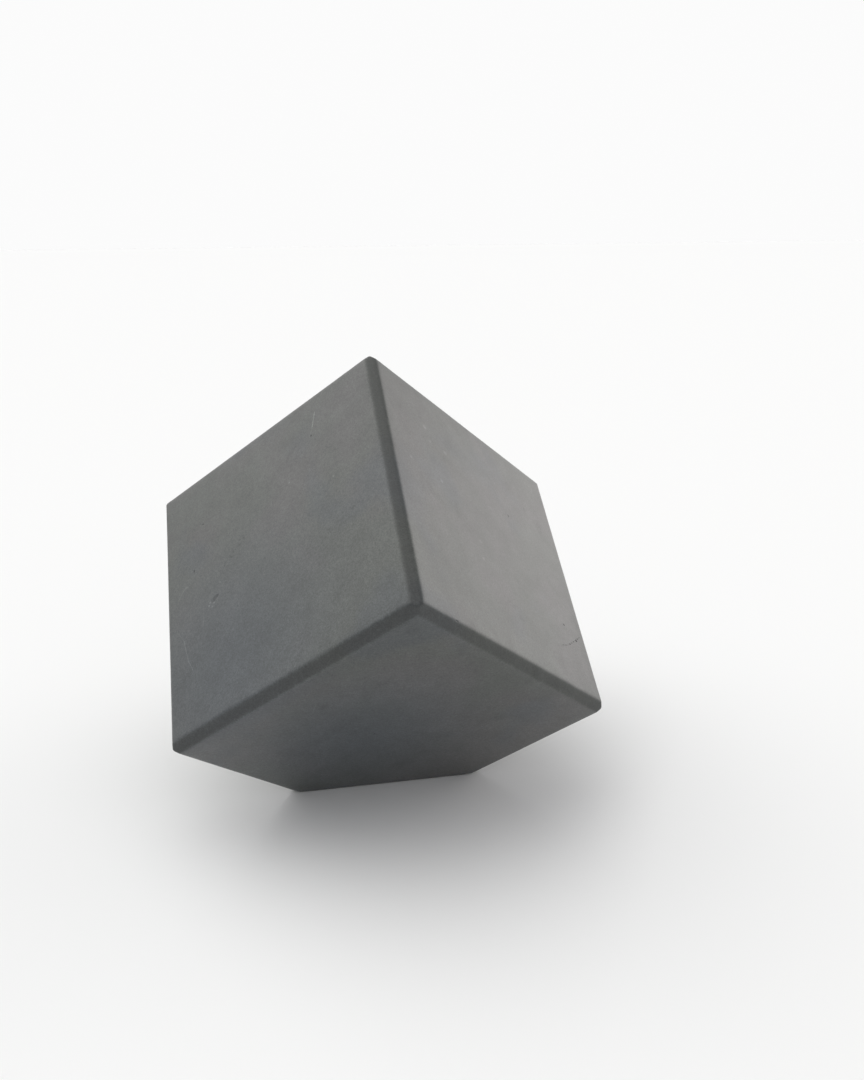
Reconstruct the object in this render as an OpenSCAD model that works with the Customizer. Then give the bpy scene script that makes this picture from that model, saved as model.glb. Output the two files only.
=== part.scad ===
// Solid cube block with bevelled edges, standing on one flat-cut corner.
//
// The block is one piece: a cube, its edges ground to 45 degree bevels, and one corner
// sawn off square to the body diagonal. It stands on that cut with the diagonal upright.
//
// Frame: the origin is the centre of the standing facet, +Z runs up the body diagonal
// through the opposite corner, and the upper corner at the front points towards -Y.

/* [Block] */
// Edge length of the cube, from face to face
cube_edge = 40; // [30:1:60]
// Width that each edge bevel takes off both of its faces
bevel_leg = 1.1; // [0.4:0.1:3]

/* [Standing corner] */
// Length that the flat cut takes off each of the three edges meeting at the corner
corner_cut = 19; // [8:0.5:24]

/* [Hidden] */

block_color = [0.17, 0.17, 0.17];

// Tilt from a face normal to the body diagonal of a cube
diagonal_tilt = atan(sqrt(2));
// Height of the cube's centre above the standing facet
centre_height = cube_edge * sqrt(3) / 2 - corner_cut / sqrt(3);
// Side of the turned square whose flanks are the bevel planes
bevel_square = (cube_edge - bevel_leg) * sqrt(2);

// Square bar along Z, as long as the cube, with its four long edges bevelled
module bevelled_bar() {
    linear_extrude(height = cube_edge, center = true)
        intersection() {
            square(cube_edge, center = true);
            rotate(45) square(bevel_square, center = true);
        }
}

// Cube with all twelve edges bevelled: what three crossed bars have in common
module bevelled_cube() {
    intersection() {
        bevelled_bar();
        rotate([90, 0, 0]) bevelled_bar();
        rotate([0, 90, 0]) bevelled_bar();
    }
}

// Everything below the plane that the block stands on
module below_ground() {
    translate([-cube_edge, -cube_edge, -2 * cube_edge])
        cube(2 * cube_edge);
}

module cube_block() {
    color(block_color)
        difference() {
            translate([0, 0, centre_height])
                rotate([-diagonal_tilt, 0, 0])
                    rotate([0, 0, 45])
                        bevelled_cube();
            below_ground();
        }
}

cube_block();
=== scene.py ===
import math
import random

import bmesh
import bpy
import numpy as np
from mathutils import Matrix, Quaternion, Vector, noise


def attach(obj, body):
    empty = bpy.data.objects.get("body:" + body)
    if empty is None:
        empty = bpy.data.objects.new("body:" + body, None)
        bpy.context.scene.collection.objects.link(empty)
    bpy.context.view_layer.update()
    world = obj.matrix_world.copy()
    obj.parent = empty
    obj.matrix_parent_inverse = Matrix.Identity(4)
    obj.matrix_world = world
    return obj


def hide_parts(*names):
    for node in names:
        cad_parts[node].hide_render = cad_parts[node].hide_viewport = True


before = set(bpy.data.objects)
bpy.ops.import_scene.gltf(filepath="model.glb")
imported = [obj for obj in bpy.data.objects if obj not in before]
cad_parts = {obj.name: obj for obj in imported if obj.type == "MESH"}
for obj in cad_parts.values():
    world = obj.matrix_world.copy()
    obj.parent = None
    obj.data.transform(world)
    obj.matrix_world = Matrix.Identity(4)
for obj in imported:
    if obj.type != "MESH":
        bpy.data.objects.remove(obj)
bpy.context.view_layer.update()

# The block is shaped in millimetres and scaled to metres at the end.
MM = 0.001
CAD_NODE = "cube_block"
SEED = 11

# ---- The cube inside the block -------------------------------------------------------------

# Tilt from vertical of the three upper faces' normals: the body diagonal is upright.
DIAGONAL_TILT = math.atan(math.sqrt(2))


def upper_face_normal(turn):
    """Outward normal of the upper face that is turned this far round from the front."""
    level = math.sin(DIAGONAL_TILT)
    return Vector((math.sin(turn) * level, -math.cos(turn) * level, math.cos(DIAGONAL_TILT)))


LEFT = upper_face_normal(math.radians(-60))
RIGHT = upper_face_normal(math.radians(60))
REAR = upper_face_normal(math.radians(180))
CUBE_AXES = (LEFT, RIGHT, REAR)


def cad_polygons():
    """The CAD body in millimetres, each of its flat faces as one polygon."""
    bm = bmesh.new()
    bm.from_mesh(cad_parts[CAD_NODE].data)
    bm.transform(Matrix.Scale(1 / MM, 4))
    bmesh.ops.remove_doubles(bm, verts=bm.verts, dist=0.001)
    bmesh.ops.dissolve_limit(bm, angle_limit=math.radians(1), verts=bm.verts, edges=bm.edges)
    bm.normal_update()
    return bm


class Cube:
    """Planes, centre and size of the block, measured on the CAD polygons."""

    def __init__(self, bm):
        self.normals = np.array([f.normal for f in bm.faces])
        self.reach = np.array([f.normal.dot(f.verts[0].co) for f in bm.faces])
        self.half = (self.plane_reach(LEFT) + self.plane_reach(-LEFT)) / 2
        self.centre = Vector((0, 0, (self.plane_reach(LEFT) - self.half) / LEFT.z))
        along = np.abs(self.normals @ np.array(CUBE_AXES).T).max(axis=1)
        self.is_face = along > 0.99
        self.is_facet = self.normals[:, 2] < -0.99
        self.is_bevel = ~(self.is_face | self.is_facet)

    def plane_reach(self, normal):
        """How far out from the origin the plane with this normal lies."""
        return float(self.reach[np.argmax(self.normals @ np.array(normal))])

    def corners(self):
        """The cube's seven whole corners, before their bevels."""
        signs = [(a, b, c) for a in (-1, 1) for b in (-1, 1) for c in (-1, 1)]
        points = [self.centre + self.half * (a * LEFT + b * RIGHT + c * REAR) for a, b, c in signs]
        return np.array([p for p in points if p.z > 0])

    def on_face(self, normal, across, up, x, y):
        """Point on the face with this normal, x and y from its middle along two cube axes."""
        return self.centre + normal * self.half + across * x + up * y

    def on_left(self, x, y):
        """Point on the left face, x towards the right face and y towards the rear face."""
        return self.on_face(LEFT, RIGHT, REAR, x, y)

    def on_right(self, x, y):
        """Point on the right face, x towards the left face and y towards the rear face."""
        return self.on_face(RIGHT, LEFT, REAR, x, y)


# ---- Marks: pits, nicks and a crack, each a rounded groove from start to end ---------------

# Lengths here are in millimetres, and a depth share is a share of the mark's radius.
CRACK_DEPTH_SHARE = 0.5

# Random pores keep this far from the edges of their face and this high above the floor.
PORE_MARGIN = 2
LOWEST_PORE = 1
PORES_PER_FACE = 4
LONGEST_PORE = 0.35
PORE_RADII = (0.07, 0.13)
PORE_DEPTH_SHARE = 0.6

# Random nicks lie on the arrises longer than this, between these shares of their length.
NICKED_ARRIS = 10
NICK_PLACES = (0.04, 0.96)
NICK_COUNTS = (0, 1, 1)
LONGEST_NICK = 0.4
NICK_RADII = (0.10, 0.18)
NICK_DEPTH_SHARE = 0.35


class Mark:
    """A rounded groove from start to end, with a radius across and a depth at its middle."""

    def __init__(self, start, end, radius, depth):
        self.start = np.array(start)
        self.end = np.array(end)
        self.radius = radius
        self.depth = depth

    def distance(self, points):
        """Distance of each point from the mark's centre line."""
        run = self.end - self.start
        length_sq = max(float(run @ run), 1e-12)
        t = np.clip((points - self.start) @ run / length_sq, 0, 1)
        return np.linalg.norm(points - self.start - t[:, None] * run, axis=1)


def seen_marks(cube):
    """The marks seen in the photo: face, start, end, radius and depth, in millimetres."""
    marks = []
    for on_face, start, end, radius, depth in (
        (cube.on_left, (-10.4, -2.4), (-10.2, -2.2), 0.46, 0.053),
        (cube.on_left, (-9.9, -2.2), (-9.7, -2.1), 0.30, 0.05),
        (cube.on_left, (-13.8, 4.0), (-13.8, 4.1), 0.15, 0.07),
        (cube.on_left, (-11.7, 10.7), (-11.6, 10.7), 0.13, 0.05),
        (cube.on_left, (8.7, 12.6), (8.7, 12.7), 0.13, 0.06),
        (cube.on_right, (-6.2, 5.9), (-6.2, 6.0), 0.20, 0.042),
        (cube.on_right, (-14.0, -8.8), (-13.9, -8.8), 0.18, 0.05),
        (cube.on_right, (-11.6, 9.9), (-11.6, 10.0), 0.13, 0.02),
    ):
        marks.append(Mark(on_face(*start), on_face(*end), radius, depth))
    # The broken edge crack on the right face: dots and dashes that fade inwards.
    for start, end, radius in (
        ((-17.6, -9.4), (-17.4, -9.6), 0.08),
        ((-17.0, -9.9), (-16.8, -10.0), 0.09),
        ((-16.4, -10.4), (-16.3, -10.4), 0.16),
        ((-15.5, -10.9), (-15.4, -10.9), 0.10),
        ((-14.8, -11.3), (-14.8, -11.4), 0.08),
        ((-14.2, -11.7), (-14.1, -11.8), 0.12),
        ((-13.2, -12.3), (-12.6, -12.5), 0.06),
        ((-12.2, -12.6), (-11.6, -12.9), 0.05),
    ):
        depth = CRACK_DEPTH_SHARE * radius
        marks.append(Mark(cube.on_right(*start), cube.on_right(*end), radius, depth))
    return marks


def scattered_pits(cube, draw):
    """Small invented pores on the four faces whose marks aren't seen or can't be made out."""
    marks = []
    inner = cube.half - PORE_MARGIN
    for normal in (REAR, -LEFT, -RIGHT, -REAR):
        across, up = [a for a in CUBE_AXES if abs(a.dot(normal)) < 0.5]
        for _ in range(PORES_PER_FACE):
            x = draw.uniform(-inner, inner)
            y = draw.uniform(-inner, inner)
            middle = cube.on_face(normal, across, up, x, y)
            turn = draw.uniform(0, math.tau)
            run = (across * math.cos(turn) + up * math.sin(turn)) * draw.uniform(0, LONGEST_PORE)
            radius = draw.uniform(*PORE_RADII)
            if middle.z > LOWEST_PORE:
                marks.append(Mark(middle, middle + run, radius, radius * PORE_DEPTH_SHARE))
    return marks


def edge_nicks(bm, draw):
    """Small invented knocks on the long arrises."""
    marks = []
    for edge in [e for e in bm.edges if e.calc_length() > NICKED_ARRIS]:
        start, end = (v.co for v in edge.verts)
        for _ in range(draw.choice(NICK_COUNTS)):
            middle = start.lerp(end, draw.uniform(*NICK_PLACES))
            run = (end - start).normalized() * draw.uniform(0, LONGEST_NICK)
            radius = draw.uniform(*NICK_RADII)
            marks.append(Mark(middle, middle + run, radius, radius * NICK_DEPTH_SHARE))
    return marks


# ---- Mesh: rows along every arris, an even grid, and fine cells around the marks -----------

# Widths of the rows of faces that follow each arris, from the arris inwards.
ARRIS_ROWS = (0.06, 0.07, 0.09, 0.12, 0.15)
GRID = 0.8
REFINE_ROUNDS = 6
LONGEST_FIRST_ROUNDS = 3
# Edges this near a mark, in radii, are halved until this many fit in its radius.
REFINE_REACH = 1.2
CELLS_IN_RADIUS = 3


def add_arris_rows(bm):
    """Narrow rings inside each flat face, so that the softened arrises are real curves."""
    flats = bm.faces[:]
    for width in ARRIS_ROWS:
        bmesh.ops.inset_individual(bm, faces=flats, thickness=width, use_even_offset=True)


def slice_into_grid(bm, cube):
    """Cuts the whole surface square to the three cube axes."""
    count = math.ceil(cube.half / GRID)
    for axis in CUBE_AXES:
        for i in range(-count, count):
            geometry = bm.verts[:] + bm.edges[:] + bm.faces[:]
            point = cube.centre + axis * (i + 0.5) * GRID
            bmesh.ops.bisect_plane(bm, geom=geometry, dist=0.0005, plane_co=point, plane_no=axis)


def as_triangles(bm):
    """The mesh as an array of points and an array of triangles."""
    bmesh.ops.triangulate(bm, faces=bm.faces[:], quad_method="SHORT_EDGE", ngon_method="BEAUTY")
    bm.verts.index_update()
    points = np.array([v.co for v in bm.verts])
    triangles = np.array([[v.index for v in face.verts] for face in bm.faces])
    return points, triangles


def split_edges(points, triangles, wanted):
    """Halves the edges for which wanted(middles, lengths) is true, and the triangles with them."""
    sides = np.stack([triangles, np.roll(triangles, -1, axis=1)], axis=2)
    edges, side_edge = np.unique(np.sort(sides.reshape(-1, 2), axis=1), axis=0, return_inverse=True)
    side_edge = side_edge.reshape(-1, 3)
    start, end = points[edges[:, 0]], points[edges[:, 1]]
    middles = (start + end) / 2
    lengths = np.linalg.norm(end - start, axis=1)
    chosen = wanted(middles, lengths)
    for _ in range(LONGEST_FIRST_ROUNDS):
        longest = side_edge[np.arange(len(triangles)), lengths[side_edge].argmax(axis=1)]
        chosen[longest[chosen[side_edge].any(axis=1)]] = True
    middle_index = np.full(len(edges), -1)
    middle_index[chosen] = len(points) + np.arange(chosen.sum())
    halves = middle_index[side_edge]
    cut = halves >= 0
    count = cut.sum(axis=1)
    made = [triangles[count == 0]]

    # Turn each triangle so that a single cut side comes first, or a single whole side last.
    first = np.where(count == 1, cut.argmax(axis=1), (np.argmin(cut, axis=1) + 1) % 3)
    order = (first[:, None] + np.arange(3)) % 3
    a, b, c = np.take_along_axis(triangles, order, axis=1).T
    ab, bc, ca = np.take_along_axis(halves, order, axis=1).T
    for sides_cut, pieces in (
        (1, ((a, ab, c), (ab, b, c))),
        (2, ((ab, b, bc), (a, ab, bc), (a, bc, c))),
        (3, ((a, ab, ca), (ab, b, bc), (ca, bc, c), (ab, bc, ca))),
    ):
        made += [np.stack(piece, axis=1)[count == sides_cut] for piece in pieces]
    return np.vstack([points, middles[chosen]]), np.vstack(made)


def refine_near_marks(points, triangles, marks):
    """Halves the edges around each mark until its hollow has a few cells across."""

    def wanted(middles, lengths):
        chosen = np.zeros(len(lengths), bool)
        for mark in marks:
            near = mark.distance(middles) < REFINE_REACH * mark.radius + lengths / 2
            chosen |= near & (lengths > mark.radius / CELLS_IN_RADIUS)
        return chosen

    for _ in range(REFINE_ROUNDS):
        points, triangles = split_edges(points, triangles, wanted)
    return points, triangles


# ---- Wear: soft arrises, crisper corners, faintly wavy faces, hollowed marks ---------------

ARRIS_SOFTNESS = 0.11
# Share of that softness that is lost at the corners, and how far from them it comes back.
CORNER_CRISPNESS = 0.55
CORNER_REACH = 1.6
# How unevenly the arrises are worn, and over what length.
UNEVENNESS = 0.12
UNEVEN_LENGTH = 5.0
WAVE_DEPTH = 0.02
WAVE_LENGTH = 9.0
WEAR_ROUNDS = 5
# How ragged the rims of the marks are, and the size of the raggedness in radii of the mark.
RAGGEDNESS = 0.35
RAGGED_SIZE = 0.7
# Exponent of the marks' cross-section: below 1 gives a flatter floor and steeper rim.
HOLLOW_SHAPE = 0.8
# A mark this deep gets the full painted shade that the material puts in a hollow.
PAINTED_SHADE_DEPTH = 0.1


def noise_at(points, size, seed):
    """Smooth noise between about -1 and 1, with features of this size."""
    shift = Vector((seed * 17.3, seed * 5.1, seed * 29.7))
    return np.array([noise.noise(Vector(p) / size + shift) for p in points])


def plane_weights(points, cube, softness):
    """The rounded block's distance at each point, and each plane's share in it."""
    out = points @ cube.normals.T - cube.reach
    top = out.max(axis=1, keepdims=True)
    share = np.exp((out - top) / softness[:, None])
    total = share.sum(axis=1, keepdims=True)
    distance = top[:, 0] + softness * np.log(total[:, 0])
    return distance, share / total


def wear_down(points, cube):
    """Moves points of the sharp block in to the worn surface; returns them and the plane shares."""
    gap = np.linalg.norm(points[:, None] - cube.corners()[None], axis=2).min(axis=1)
    softness = ARRIS_SOFTNESS * (1 - CORNER_CRISPNESS * np.exp(-(gap / CORNER_REACH) ** 2))
    softness *= 1 + UNEVENNESS * noise_at(points, UNEVEN_LENGTH, 1)
    for _ in range(WEAR_ROUNDS):
        distance, shares = plane_weights(points, cube, softness)
        slope = shares @ cube.normals
        points = points - slope * (distance / (slope ** 2).sum(axis=1))[:, None]
    return points, plane_weights(points, cube, softness)[1]


def hollow_marks(points, marks):
    """How deep each point is pressed in by the marks, in millimetres."""
    depth = np.zeros(len(points))
    for mark in marks:
        away = mark.distance(points)
        near = np.flatnonzero(away < 2 * mark.radius)
        ragged = 1 + RAGGEDNESS * noise_at(points[near], RAGGED_SIZE * mark.radius, 2)
        ratio = np.clip(away[near] / mark.radius * ragged, 0, 1)
        depth[near] = np.maximum(depth[near], mark.depth * (1 - ratio ** 2) ** HOLLOW_SHAPE)
    return depth


def shape_block():
    """The cube, and the block's mesh in metres with what its material needs as attributes."""
    bm = cad_polygons()
    cube = Cube(bm)
    draw = random.Random(SEED)
    marks = seen_marks(cube) + scattered_pits(cube, draw) + edge_nicks(bm, draw)
    add_arris_rows(bm)
    slice_into_grid(bm, cube)
    sharp, triangles = refine_near_marks(*as_triangles(bm), marks)
    bm.free()

    worn, shares = wear_down(sharp, cube)
    slope = shares @ cube.normals
    slope /= np.linalg.norm(slope, axis=1, keepdims=True)
    facet = shares @ cube.is_facet
    wave = WAVE_DEPTH * (0.5 + 0.5 * noise_at(worn, WAVE_LENGTH, 3)) * (1 - facet)
    hollow = hollow_marks(worn, marks)
    final = worn - slope * (wave + hollow)[:, None]

    mesh = bpy.data.meshes.new("charcoal_block")
    mesh.from_pydata(final * MM, [], triangles)
    mesh.shade_smooth()
    for name, values in (
        ("bevel", shares @ cube.is_bevel),
        ("facet", facet),
        ("arris", 2 * (1 - shares.max(axis=1))),
        # The hollow attribute also sets where the material paints shade inside the marks.
        ("hollow", hollow / PAINTED_SHADE_DEPTH),
    ):
        layer = mesh.attributes.new(name, "FLOAT", "POINT")
        layer.data.foreach_set("value", np.clip(values, 0, 1).astype(np.float32))
    block = bpy.data.objects.new("charcoal_block", mesh)
    bpy.context.scene.collection.objects.link(block)
    return cube, block


# ---- Material ------------------------------------------------------------------------------

ALBEDO = 0.098
ROUGHNESS = 0.33
IOR = 1.5

# Sizes in millimetres of the tone patterns, and how far each one swings the tone.
CLOUDS = (13.0, 0.10)
MOTTLE = (2.6, 0.09)
GRAIN = (0.42, 0.17)
FINE_GRAIN = (0.17, 0.24)

# Sizes in millimetres of the patterns that place the other features.
VEIN_SIZE = 3.4
VEIN_STRETCH = 5
VEIN_DIRECTION = RIGHT * 0.8 + REAR * 0.6 + LEFT * 0.2
SPECKLE_SIZE = 0.6
WORN_SIZE = 1.6
COOL_SIZE = 12
HUE_SIZE = 14
SHEEN_SIZE = 9
HAIRLINE_BEND = 17
HAIRLINE_PATCH = 6
SPECK_SPACING = 2.2

# Half-width of a random hairline, as a step of the smooth noise that it follows.
HAIRLINE_WIDTH = 0.0022
HAIRLINE_STRENGTH = 0.35
SMUDGE_STRENGTH = 0.35
# Light specks have a solid core of this radius and fade from there.
SPECK_CORE = 0.05
# The painted shade patches fade out over these depths below their face.
PAINTED_SHADE_FADE = (-7, -1)

# Slight shifts of hue between patches of the surface.
GREEN_TINT = (0.95, 1.01, 0.94)
PLUM_TINT = (0.99, 0.985, 0.965)
# The cool patches' hue, which is also the hue of the painted shade low on the left face and mid
# lower face.
COOL_AND_SHADE_TINT = (0.90, 1.00, 1.08)
# The bevels' hue goes with the painted shade on them.
BEVEL_SHADE_TINT = (0.95, 1.02, 0.93)

# What each feature does to the tone and to the roughness where it is fully there.
FEATURE_TONES = {
    # The cool patches' tone: painted shade low on the left face and mid lower face, the charcoal's
    # own tone elsewhere.
    "cool_and_painted_shade": 0.86,
    "vein": 0.94,
    "smudge": 0.62,
    # The bevels' tone: painted shade that darkens every bevel band; their extra roughness below is
    # the real ground finish.
    "bevel": 0.46,
    "facet": 1.25,
    # The marks' tone: painted shade inside the pits, nicks and crack; their extra roughness below
    # is real.
    "hollow": 0.45,
    "worn": 1.12,
    "scratch": 2.5,
    "speck": 1.5,
}
FEATURE_ROUGHNESSES = {
    "vein": 1.04,
    "bevel": 1.10,
    "facet": 1.6,
    "hollow": 1.6,
    "worn": 0.92,
    "scratch": 1.3,
}

BUMP_STRENGTH = 0.35
BUMP_DEPTH = 0.02
GRAIN_SHARE_OF_BUMP = 0.6


class Nodes:
    """A node tree, with short calls to add nodes and wire them by socket name."""

    def __init__(self, owner):
        owner.use_nodes = True
        self.tree = owner.node_tree
        self.tree.nodes.clear()

    def node(self, kind, inputs=None, **settings):
        """New node. Each input, by name or number, is a value or another node's output."""
        node = self.tree.nodes.new("ShaderNode" + kind)
        for name, value in settings.items():
            setattr(node, name, value)
        for key, value in (inputs or {}).items():
            if isinstance(value, bpy.types.NodeSocket):
                self.tree.links.new(value, node.inputs[key])
            else:
                node.inputs[key].default_value = value
        return node

    def math(self, operation, *values):
        return self.node("Math", dict(enumerate(values)), operation=operation).outputs[0]

    def vector(self, operation, *values):
        return self.node("VectorMath", dict(enumerate(values)), operation=operation).outputs[0]

    def scaled(self, vector, factor):
        return self.node("VectorMath", {0: vector, "Scale": factor}, operation="SCALE").outputs[0]

    def dot(self, a, b):
        return self.node("VectorMath", {0: a, 1: b}, operation="DOT_PRODUCT").outputs["Value"]

    def length(self, vector):
        return self.node("VectorMath", {0: vector}, operation="LENGTH").outputs["Value"]

    def product(self, first, *others):
        for value in others:
            first = self.math("MULTIPLY", first, value)
        return first

    def noise(self, where, size, detail=2.0, roughness=0.5):
        """Noise from 0 to 1, mostly near 0.5, with features of about this size in millimetres."""
        inputs = {"Vector": where, "Scale": 1 / size, "Detail": detail, "Roughness": roughness}
        return self.node("TexNoise", inputs).outputs[0]

    def ramp(self, value, low, high, start=0.0, end=1.0):
        """Smooth step from start to end as value goes from low to high."""
        inputs = {"Value": value, "From Min": low, "From Max": high, "To Min": start, "To Max": end}
        return self.node("MapRange", inputs, interpolation_type="SMOOTHSTEP").outputs[0]

    def swing(self, value, amount):
        """1 plus or minus amount, as noise goes from 0.25 to 0.75."""
        inputs = {"Value": value, "From Min": 0.25, "From Max": 0.75}
        inputs.update({"To Min": 1 - amount, "To Max": 1 + amount})
        return self.node("MapRange", inputs).outputs[0]

    def factors(self, features, table):
        """A factor for each feature in the table: 1 where it is absent, its value where full."""
        return [self.ramp(features[name], 0, 1, 1.0, full) for name, full in table.items()]

    def blend(self, factor, a, b):
        inputs = {"Factor": factor, "A": a, "B": b}
        return self.node("Mix", inputs, data_type="VECTOR").outputs[1]

    def attribute(self, name):
        return self.node("Attribute", attribute_name=name).outputs["Fac"]

    def stretched(self, where, direction, times):
        """The point with its place along this direction divided by times."""
        direction = direction.normalized()
        excess = self.math("MULTIPLY", self.dot(where, direction), 1 - 1 / times)
        return self.vector("SUBTRACT", where, self.scaled(direction, excess))


def stroke(n, where, start, end, width):
    """1 on the straight stroke between two points, falling to 0 one width to each side."""
    run = end - start
    offset = n.vector("SUBTRACT", where, start)
    share = n.math("DIVIDE", n.dot(offset, run), run.length_squared)
    share = n.node("Clamp", {"Value": share}).outputs[0]
    away = n.length(n.vector("SUBTRACT", offset, n.scaled(run, share)))
    return n.ramp(away, 0, width, 1, 0)


def seen_scratches(n, where, cube):
    """The light hair scratches on the left face: width, strength and path of each."""
    result = 0.0
    for width, strength, path in (
        (0.08, 0.35, ((-17.3, -3.7), (-16.1, -5.7))),
        (0.055, 0.85, ((-16.1, -5.7), (-15.9, -7.0), (-15.7, -7.9), (-15.4, -9.1))),
        (0.055, 0.85, ((-15.4, -9.1), (-14.9, -10.1), (-14.7, -10.7))),
        (0.08, 0.4, ((-12.3, -3.2), (-12.6, -5.5))),
        (0.16, 0.70, ((9.8, 16.1), (9.1, 14.0))),
        (0.14, 0.25, ((9.1, 14.0), (8.3, 12.2))),
    ):
        points = [cube.on_left(x, y) for x, y in path]
        for start, end in zip(points, points[1:]):
            line = stroke(n, where, start, end, width)
            result = n.math("MAXIMUM", result, n.product(line, strength))
    return result


def seen_trails(n, where, cube, speckle):
    """The faint dark smudged trails that cross the left face: start, end, width and strength."""
    result = 0.0
    for start, end, width, strength in (
        ((-8.6, 1.3), (-4.5, 4.2), 0.9, 0.9),
        ((12.2, -2.2), (14.8, -2.2), 0.7, 0.9),
        ((6.0, -4.6), (12.2, -2.2), 1.2, 0.5),
        ((13.4, -10.4), (17.1, -7.4), 1.4, 0.5),
    ):
        trail = stroke(n, where, cube.on_left(*start), cube.on_left(*end), width)
        result = n.math("MAXIMUM", result, n.product(trail, strength))
    return n.product(result, speckle)


def seen_specks(n, where, cube):
    """Small light specks at the left face's pit and singly on both upper faces."""
    result = 0.0
    for on_face, radius, places in (
        (cube.on_left, 0.26, ((-11.1, -2.4), (-10.4, -2.7), (-10.8, -3.2), (-11.3, -2.8))),
        (cube.on_left, 0.26, ((-9.1, -0.3), (11.3, 4.1), (4.2, 7.7))),
        (cube.on_right, 0.58, ((10.7, 12.0), (6.9, 9.7))),
        (cube.on_right, 0.43, ((10.2, 9.8), (3.5, -5.9), (9.4, 3.5), (3.2, -3.1), (15.4, 4.1))),
    ):
        for x, y in places:
            away = n.length(n.vector("SUBTRACT", where, on_face(x, y)))
            result = n.math("MAXIMUM", result, n.ramp(away, SPECK_CORE, radius, 1, 0))
    return result


def scattered_specks(n, where):
    """Small light specks here and there, a few in each square centimetre."""
    cells = n.node("TexVoronoi", {"Vector": where, "Scale": 1 / SPECK_SPACING})
    chance = n.node("SeparateXYZ", {0: cells.outputs["Color"]}).outputs["X"]
    chosen = n.ramp(chance, 0.80, 0.82)
    return n.product(n.ramp(cells.outputs["Distance"], 0.02, 0.05, 1, 0), chosen)


def cool_patches_and_painted_shade(n, where, cube):
    """Bluish darker patches: at random here and there as the charcoal's own tone, and placed low on
    the left face and mid lower face as painted shade.
    """
    elsewhere = n.vector("ADD", where, (40, 0, 0))
    patches = n.ramp(n.noise(elsewhere, COOL_SIZE), 0.52, 0.68, 0.0, 0.6)
    # The two placed patches below are painted shade, not tone of the charcoal.
    for normal, across, up, x, y, reach in (
        (LEFT, RIGHT, REAR, -8, -13, 25),
        (-REAR, LEFT, RIGHT, 3, -4, 22),
    ):
        offset = n.vector("SUBTRACT", where, cube.on_face(normal, across, up, x, y))
        near = n.ramp(n.length(offset), 0, reach, 1, 0)
        skin = n.ramp(n.dot(offset, normal), *PAINTED_SHADE_FADE)
        patches = n.math("MAXIMUM", patches, n.product(near, skin))
    return patches


def hairlines(n, where):
    """Sparse fine curved scratches: thin contour lines of smooth noise, kept only in patches."""
    contour = n.math("ABSOLUTE", n.math("SUBTRACT", n.noise(where, HAIRLINE_BEND, detail=0), 0.5))
    line = n.ramp(contour, 0.0, HAIRLINE_WIDTH, 1, 0)
    patch = n.ramp(n.noise(where, HAIRLINE_PATCH, detail=1), 0.60, 0.66)
    return n.product(line, patch)


def surface_features(n, where, cube):
    """How far each feature of the surface is there, from 0 to 1, by name."""
    arris = n.attribute("arris")
    along_veins = n.stretched(where, VEIN_DIRECTION, VEIN_STRETCH)
    vein = n.ramp(n.noise(along_veins, VEIN_SIZE, detail=4, roughness=0.6), 0.56, 0.70)
    speckle = n.ramp(n.noise(where, SPECKLE_SIZE, detail=3, roughness=0.7), 0.44, 0.62)
    smudge = n.product(vein, speckle, SMUDGE_STRENGTH)
    hairline = n.product(hairlines(n, where), HAIRLINE_STRENGTH)
    return {
        "bevel": n.attribute("bevel"),
        "facet": n.attribute("facet"),
        "hollow": n.attribute("hollow"),
        "cool_and_painted_shade": cool_patches_and_painted_shade(n, where, cube),
        "vein": vein,
        "smudge": n.math("MAXIMUM", smudge, seen_trails(n, where, cube, speckle)),
        "worn": n.product(arris, n.ramp(n.noise(where, WORN_SIZE, detail=3), 0.45, 0.62)),
        "scratch": n.math("MAXIMUM", seen_scratches(n, where, cube), hairline),
        "speck": n.math("MAXIMUM", seen_specks(n, where, cube), scattered_specks(n, where)),
    }


def carbon_material(cube):
    """Honed charcoal: dark, satin, softly clouded and veined, with rougher ground bevels that are
    also painted darker as shade.
    """
    material = bpy.data.materials.new("honed_charcoal")
    n = Nodes(material)
    where = n.scaled(n.node("TexCoord").outputs["Object"], 1 / MM)
    features = surface_features(n, where, cube)

    cloud = n.noise(where, CLOUDS[0], detail=3)
    mottle = n.noise(where, MOTTLE[0], detail=3)
    grain = n.noise(where, GRAIN[0], detail=3, roughness=0.6)
    fine_grain = n.noise(where, FINE_GRAIN[0], detail=1)
    tone = n.product(
        n.swing(cloud, CLOUDS[1]),
        n.swing(mottle, MOTTLE[1]),
        n.swing(grain, GRAIN[1]),
        n.swing(fine_grain, FINE_GRAIN[1]),
        *n.factors(features, FEATURE_TONES),
    )
    hue = n.blend(n.ramp(n.noise(where, HUE_SIZE), 0.42, 0.62), GREEN_TINT, PLUM_TINT)
    hue = n.blend(features["bevel"], hue, BEVEL_SHADE_TINT)
    hue = n.blend(features["cool_and_painted_shade"], hue, COOL_AND_SHADE_TINT)
    color = n.scaled(hue, n.product(tone, ALBEDO))

    roughness = n.product(
        n.swing(n.noise(where, SHEEN_SIZE, detail=3), 0.04),
        n.swing(mottle, -0.04),
        n.swing(grain, 0.08),
        *n.factors(features, FEATURE_ROUGHNESSES),
        ROUGHNESS,
    )
    coarse = n.product(grain, GRAIN_SHARE_OF_BUMP)
    fine = n.product(fine_grain, 1 - GRAIN_SHARE_OF_BUMP)
    bump = n.node("Bump", {
        "Strength": BUMP_STRENGTH,
        "Distance": BUMP_DEPTH * MM,
        "Height": n.math("ADD", coarse, fine),
    })
    shader = n.node("BsdfPrincipled", {
        "Base Color": color,
        "Roughness": roughness,
        "IOR": IOR,
        "Normal": bump.outputs[0],
    })
    n.node("OutputMaterial", {"Surface": shader.outputs[0]})
    return material


# ---- Camera, stage and light ---------------------------------------------------------------

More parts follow.
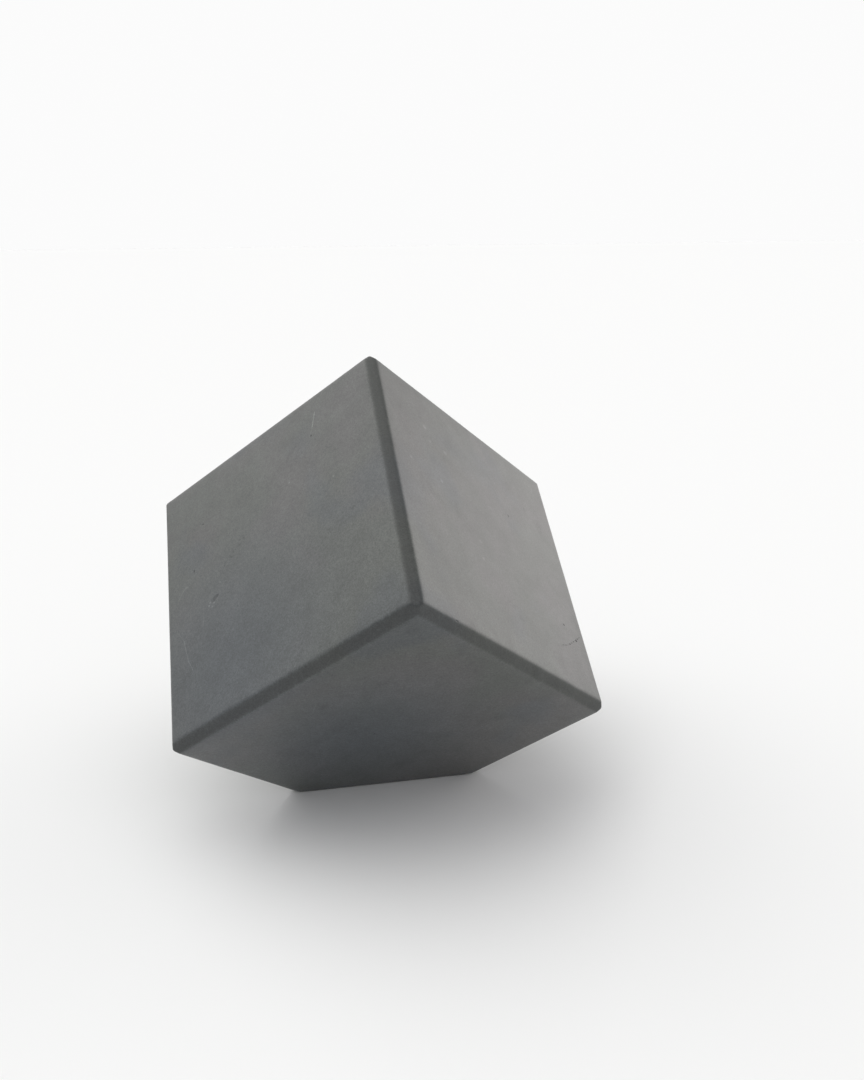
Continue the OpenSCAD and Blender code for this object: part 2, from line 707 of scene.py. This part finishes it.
CAMERA_AZIMUTH = math.radians(-8.2)
CAMERA_ELEVATION = math.radians(20.71)
CAMERA_ROLL = math.radians(-0.25)
CAMERA_DISTANCE = 0.1471
AIM_RIGHT = 0.00807
AIM_UP = 0.00838
LENS = 35.6

# Radiance of the room's pale walls and straight overhead. It changes from this height up.
WALLS = 0.56
OVERHEAD = 0.62
OVERHEAD_FROM = 0.6
WALL_TINT = (0.995, 1.0, 1.015)
# Two broad soft lights: turn from straight behind the block, rise, angular radius, radiance, tint.
SOFT_LIGHTS = (
    (math.radians(71), math.radians(0), math.radians(45), 1.46, (1.05, 1.0, 0.965)),
    (math.radians(-42), math.radians(56), math.radians(55), 1.44, (1.0, 1.0, 0.975)),
)
FLOOR_ALBEDO = 0.90
# What the camera sees past the floor's edge: as bright as the open floor.
BACKDROP = 0.968
FLOOR_REACH = 2.0


def place_camera(centre):
    """Camera looking down at the block from just left of its front corner."""
    level = math.cos(CAMERA_ELEVATION)
    back = Vector((
        math.sin(CAMERA_AZIMUTH) * level,
        -math.cos(CAMERA_AZIMUTH) * level,
        math.sin(CAMERA_ELEVATION),
    ))
    right = Vector((math.cos(CAMERA_AZIMUTH), math.sin(CAMERA_AZIMUTH), 0))
    up = back.cross(right)
    camera = bpy.data.objects.new("camera", bpy.data.cameras.new("camera"))
    camera.data.lens = LENS
    camera.data.sensor_width = 36
    camera.data.clip_start = 0.01
    camera.location = centre + back * CAMERA_DISTANCE
    aim = centre + right * AIM_RIGHT + up * AIM_UP
    unrolled = (aim - camera.location).to_track_quat("-Z", "Y")
    camera.rotation_euler = (unrolled @ Quaternion((0, 0, 1), CAMERA_ROLL)).to_euler()
    bpy.context.scene.collection.objects.link(camera)
    bpy.context.scene.camera = camera


def lay_floor():
    """Plain pale floor, wide enough to reach the horizon in every view."""
    r = FLOOR_REACH
    mesh = bpy.data.meshes.new("floor")
    mesh.from_pydata([(-r, -r, 0), (r, -r, 0), (r, r, 0), (-r, r, 0)], [], [(0, 1, 2, 3)])
    material = bpy.data.materials.new("pale_floor")
    n = Nodes(material)
    shader = n.node("BsdfDiffuse", {"Color": (FLOOR_ALBEDO,) * 3 + (1,)})
    n.node("OutputMaterial", {"Surface": shader.outputs[0]})
    mesh.materials.append(material)
    floor = bpy.data.objects.new("floor", mesh)
    bpy.context.scene.collection.objects.link(floor)


def light_studio():
    """Pale walls and two broad soft lights, all as world light."""
    world = bpy.data.worlds.new("studio")
    bpy.context.scene.world = world
    n = Nodes(world)
    direction = n.node("TexCoord").outputs["Generated"]
    height = n.node("SeparateXYZ", {0: direction}).outputs["Z"]
    radiance = n.scaled(WALL_TINT, n.ramp(height, OVERHEAD_FROM, 1.0, WALLS, OVERHEAD))
    for turn, rise, size, strength, tint in SOFT_LIGHTS:
        level = math.cos(rise)
        towards = Vector((math.sin(turn) * level, math.cos(turn) * level, math.sin(rise)))
        glow = n.ramp(n.dot(direction, towards), math.cos(size), 1.0, 0.0, strength)
        radiance = n.vector("ADD", radiance, n.scaled(tint, glow))
    light = n.node("Background", {"Color": radiance})
    seen = n.node("Background", {"Color": (1, 1, 1, 1), "Strength": BACKDROP})
    camera_ray = n.node("LightPath").outputs["Is Camera Ray"]
    both = n.node("MixShader", {0: camera_ray, 1: light.outputs[0], 2: seen.outputs[0]})
    n.node("OutputWorld", {"Surface": both.outputs[0]})


# ---- The scene -----------------------------------------------------------------------------

bpy.context.scene.view_settings.view_transform = "Standard"
cube, block = shape_block()
block.data.materials.append(carbon_material(cube))
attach(block, "root")
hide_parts(CAD_NODE)
place_camera(cube.centre * MM)
lay_floor()
light_studio()
